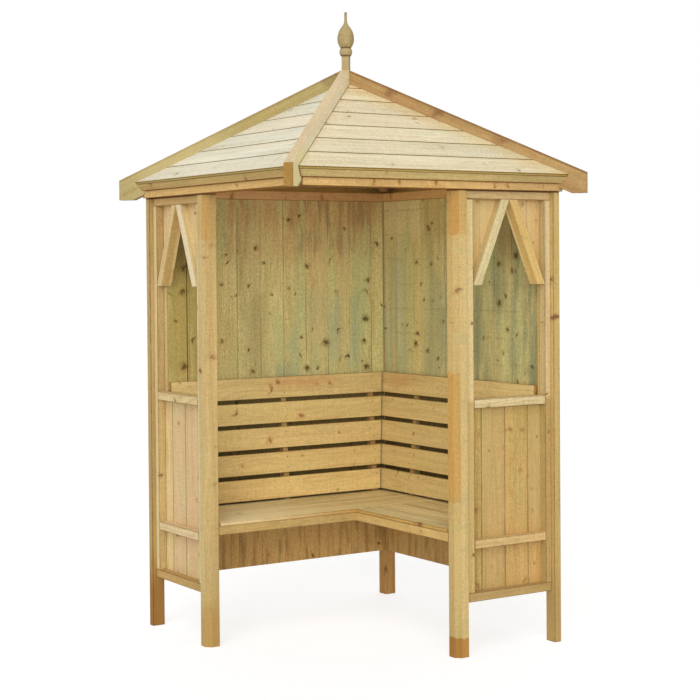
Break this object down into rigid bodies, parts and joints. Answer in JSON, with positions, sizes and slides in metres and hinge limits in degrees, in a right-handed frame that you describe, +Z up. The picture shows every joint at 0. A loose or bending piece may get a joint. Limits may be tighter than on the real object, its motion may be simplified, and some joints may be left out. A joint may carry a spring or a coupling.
{
  "type": "corner arbour seat",
  "caption": "Square corner arbour in softwood: matchboarded back walls, windowed side panels, L-shaped slatted-back seat and hipped boarded roof with a turned finial.",
  "frame": {"origin": "on the ground, under the finial, at the centre of the square plan", "axes": "+Z up; the solid walls stand on the -X and +Y sides, the windowed side panels on the -Y and +X sides, and the way in faces the corner between +X and -Y"},
  "size_m": [1.4008, 1.4008, 2.5364],
  "materials": {
    "post_timber": "planed softwood, lightly weathered, yellow-orange",
    "framing": "planed softwood rails and battens, satin",
    "cladding": "tongued and grooved softwood boards with knots, satin",
    "roof_boards": "pale tongued and grooved softwood boards, satin",
    "rafter": "planed softwood, orange-brown with end grain",
    "fascia": "planed softwood, slightly greenish from preservative",
    "ring_beam": "planed softwood, warm yellow",
    "finial": "turned softwood",
    "back_slats": "planed softwood slats, warm yellow-tan",
    "seat_boards": "weathered softwood seat boards, grey-green"
  },
  "bodies": {
    "root": {"back_corner_post": "post_timber", "back_left_fascia": "fascia", "back_left_ring_beam": "ring_beam", "back_left_roof_boards": "roof_boards", "back_rafter": "rafter", "back_right_fascia": "fascia", "back_right_ring_beam": "ring_beam", "back_right_roof_boards": "roof_boards", "finial": "finial", "front_rafter": "rafter", "left_back_battens": "framing", "left_back_slats": "back_slats", "left_end_bearer": "framing", "left_fascia": "fascia", "left_front_post": "post_timber", "left_panel_boards": "cladding", "left_panel_bottom_rail": "framing", "left_panel_braces": "framing", "left_panel_front_stile": "framing", "left_panel_mid_rail": "framing", "left_panel_rear_stile": "framing", "left_panel_sill_rail": "framing", "left_panel_top_rail": "framing", "left_rafter": "rafter", "left_rear_post": "post_timber", "left_ring_beam": "ring_beam", "left_roof_boards": "roof_boards", "left_seat_apron": "framing", "left_seat_boards": "seat_boards", "left_wall_bearer": "framing", "left_wall_boards": "cladding", "left_wall_rails": "framing", "left_wall_stiles": "framing", "right_back_battens": "framing", "right_back_slats": "back_slats", "right_end_bearer": "framing", "right_fascia": "fascia", "right_front_post": "post_timber", "right_panel_boards": "cladding", "right_panel_bottom_rail": "framing", "right_panel_braces": "framing", "right_panel_front_stile": "framing", "right_panel_mid_rail": "framing", "right_panel_rear_stile": "framing", "right_panel_sill_rail": "framing", "right_panel_top_rail": "framing", "right_rafter": "rafter", "right_rear_post": "post_timber", "right_ring_beam": "ring_beam", "right_roof_boards": "roof_boards", "right_seat_apron": "framing", "right_seat_boards": "seat_boards", "right_wall_bearer": "framing", "right_wall_boards": "cladding", "right_wall_rails": "framing", "right_wall_stiles": "framing", "roof_cleats": "framing", "seat_corner_joist": "framing", "seat_cross_joist": "framing"}
  },
  "joints": []
}
